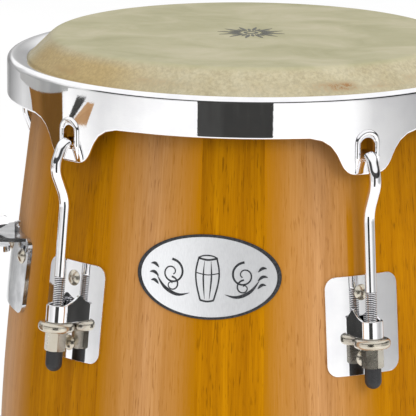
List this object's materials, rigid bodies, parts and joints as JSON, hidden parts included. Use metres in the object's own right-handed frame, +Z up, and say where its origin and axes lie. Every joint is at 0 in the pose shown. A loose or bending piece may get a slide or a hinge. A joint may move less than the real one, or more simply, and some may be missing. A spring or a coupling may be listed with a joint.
{
  "type": "conga drum",
  "caption": "Conga drum with a stave shell, a skin head under a chrome comfort rim, hook tuners with side plates, a badge and a stand bracket with a wing-nut clamp.",
  "frame": {"origin": "centre of the foot, on the floor plane", "axes": "+Z up the drum's axis; -Y faces the badge; the stand bracket is on the -X side"},
  "size_m": [0.3817, 0.3743, 0.762],
  "materials": {
    "gold_wood": "glossy lacquer over golden stained hardwood",
    "tan_wood": "glossy lacquer over tan hardwood",
    "hoop_wood": "plain laminated wood",
    "skin": "matt hide, mottled near the edge",
    "chrome": "polished chrome plate",
    "nickel": "bright nickel plate, slightly warm",
    "zinc_steel": "zinc plated steel",
    "badge_metal": "brushed, with a dark border",
    "foot_rubber": "matt black rubber",
    "cap_rubber": "soft black rubber"
  },
  "bodies": {
    "shell": {"badge": "badge_metal", "bracket_backing_strips": "zinc_steel", "bracket_bolts": "nickel", "bracket_nuts": "zinc_steel", "bracket_plate": "chrome", "clamp_washer": "nickel", "foot_ring": "foot_rubber", "gold_staves": "gold_wood", "lower_inner_hoop": "hoop_wood", "plate_backing_strips": "zinc_steel", "plate_bolts": "nickel", "plate_nuts": "zinc_steel", "seat_washers": "nickel", "side_plate_1": "chrome", "side_plate_2": "chrome", "side_plate_3": "chrome", "side_plate_4": "chrome", "side_plate_5": "chrome", "tan_staves": "tan_wood", "upper_inner_hoop": "hoop_wood"},
    "head_assembly": {"rim": "chrome", "head_skin": "skin", "flesh_hoop": "zinc_steel"},
    "rod_1": {"tuning_rod_1": "chrome"},
    "rod_2": {"tuning_rod_2": "chrome"},
    "rod_3": {"tuning_rod_3": "chrome"},
    "rod_4": {"tuning_rod_4": "chrome"},
    "rod_5": {"tuning_rod_5": "chrome"},
    "nut_1": {"tuning_nut_1": "chrome", "nut_cap_1": "cap_rubber"},
    "nut_2": {"tuning_nut_2": "chrome", "nut_cap_2": "cap_rubber"},
    "nut_3": {"tuning_nut_3": "chrome", "nut_cap_3": "cap_rubber"},
    "nut_4": {"tuning_nut_4": "chrome", "nut_cap_4": "cap_rubber"},
    "nut_5": {"tuning_nut_5": "chrome", "nut_cap_5": "cap_rubber"},
    "clamp_wing": {"clamp_wing_nut": "chrome"},
    "clamp_jaw": {"clamp_jaw": "chrome", "clamp_bolt": "chrome"}
  },
  "joints": [
    {"name": "head_lift", "type": "slide", "parent": "shell", "child": "head_assembly", "axis": [0, 0, 1], "range_m": [0, 0.006]},
    {"name": "rod_1_slide", "type": "slide", "parent": "shell", "child": "rod_1", "axis": [0.0574, 0.0789, 0.9952], "range_m": [0, 0.00605]},
    {"name": "rod_2_slide", "type": "slide", "parent": "shell", "child": "rod_2", "axis": [-0.0574, 0.0789, 0.9952], "range_m": [0, 0.00605]},
    {"name": "rod_3_slide", "type": "slide", "parent": "shell", "child": "rod_3", "axis": [-0.0928, -0.0302, 0.9952], "range_m": [0, 0.00605]},
    {"name": "rod_4_slide", "type": "slide", "parent": "shell", "child": "rod_4", "axis": [0, -0.0976, 0.9952], "range_m": [0, 0.00605]},
    {"name": "rod_5_slide", "type": "slide", "parent": "shell", "child": "rod_5", "axis": [0.0928, -0.0302, 0.9952], "range_m": [0, 0.00605]},
    {"name": "nut_1_turn", "type": "hinge", "parent": "shell", "child": "nut_1", "pos_m": [-0.10766, -0.14819, 0.5837], "axis": [0.0574, 0.0789, 0.9952], "range_deg": [-1740, 0]},
    {"name": "nut_2_turn", "type": "hinge", "parent": "shell", "child": "nut_2", "pos_m": [0.10766, -0.14819, 0.5837], "axis": [-0.0574, 0.0789, 0.9952], "range_deg": [-1740, 0]},
    {"name": "nut_3_turn", "type": "hinge", "parent": "shell", "child": "nut_3", "pos_m": [0.1742, 0.0566, 0.5837], "axis": [-0.0928, -0.0302, 0.9952], "range_deg": [-1740, 0]},
    {"name": "nut_4_turn", "type": "hinge", "parent": "shell", "child": "nut_4", "pos_m": [0, 0.18317, 0.5837], "axis": [0, -0.0976, 0.9952], "range_deg": [-1740, 0]},
    {"name": "nut_5_turn", "type": "hinge", "parent": "shell", "child": "nut_5", "pos_m": [-0.1742, 0.0566, 0.5837], "axis": [0.0928, -0.0302, 0.9952], "range_deg": [-1740, 0]},
    {"name": "jaw_slide", "type": "slide", "parent": "shell", "child": "clamp_jaw", "axis": [0, 0, 1], "range_m": [-0.0035, 0.0045]},
    {"name": "wing_nut_turn", "type": "hinge", "parent": "shell", "child": "clamp_wing", "pos_m": [-0.17477, -0.07061, 0.6256], "axis": [0, 0, 1], "range_deg": [-1300, 1012]}
  ],
  "couplings": [
    {"joint": "rod_1_slide", "follows": "head_lift", "ratio": 1.0048},
    {"joint": "rod_2_slide", "follows": "head_lift", "ratio": 1.0048},
    {"joint": "rod_3_slide", "follows": "head_lift", "ratio": 1.0048},
    {"joint": "rod_4_slide", "follows": "head_lift", "ratio": 1.0048},
    {"joint": "rod_5_slide", "follows": "head_lift", "ratio": 1.0048},
    {"joint": "nut_1_turn", "follows": "head_lift", "rad_per_m": -5050.7},
    {"joint": "nut_2_turn", "follows": "head_lift", "rad_per_m": -5050.7},
    {"joint": "nut_3_turn", "follows": "head_lift", "rad_per_m": -5050.7},
    {"joint": "nut_4_turn", "follows": "head_lift", "rad_per_m": -5050.7},
    {"joint": "nut_5_turn", "follows": "head_lift", "rad_per_m": -5050.7},
    {"joint": "wing_nut_turn", "follows": "jaw_slide", "rad_per_m": -5026.5}
  ]
}
